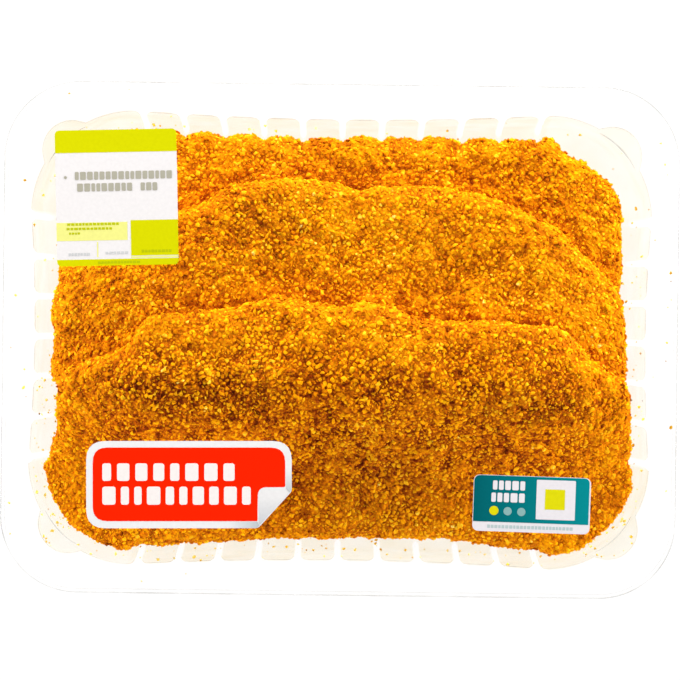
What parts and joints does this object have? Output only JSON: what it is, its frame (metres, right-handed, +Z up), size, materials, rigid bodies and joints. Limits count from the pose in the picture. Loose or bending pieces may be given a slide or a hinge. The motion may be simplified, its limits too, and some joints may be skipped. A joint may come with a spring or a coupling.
{
  "type": "sealed tray of breaded schnitzels",
  "caption": "Clear fluted tray of large breaded schnitzels, shingled one over the next and sealed under a clear film with a plain price label, a red offer sticker and a teal label.",
  "frame": {"origin": "middle of the tray's underside", "axes": "+X along the tray's long side, +Y towards the back edge with the hindmost schnitzel, +Z up out of the film"},
  "size_m": [0.227, 0.172, 0.0403],
  "materials": {
    "clear_tray": "gloss",
    "clear_film": "gloss",
    "breading": "matte",
    "lime_label": "satin",
    "red_label": "satin",
    "teal_label": "satin"
  },
  "bodies": {
    "root": {"tray": "clear_tray", "film_lid": "clear_film", "schnitzel_back": "breading", "schnitzel_middle": "breading", "schnitzel_front": "breading", "price_label": "lime_label", "red_sticker": "red_label", "teal_label": "teal_label"}
  },
  "joints": []
}
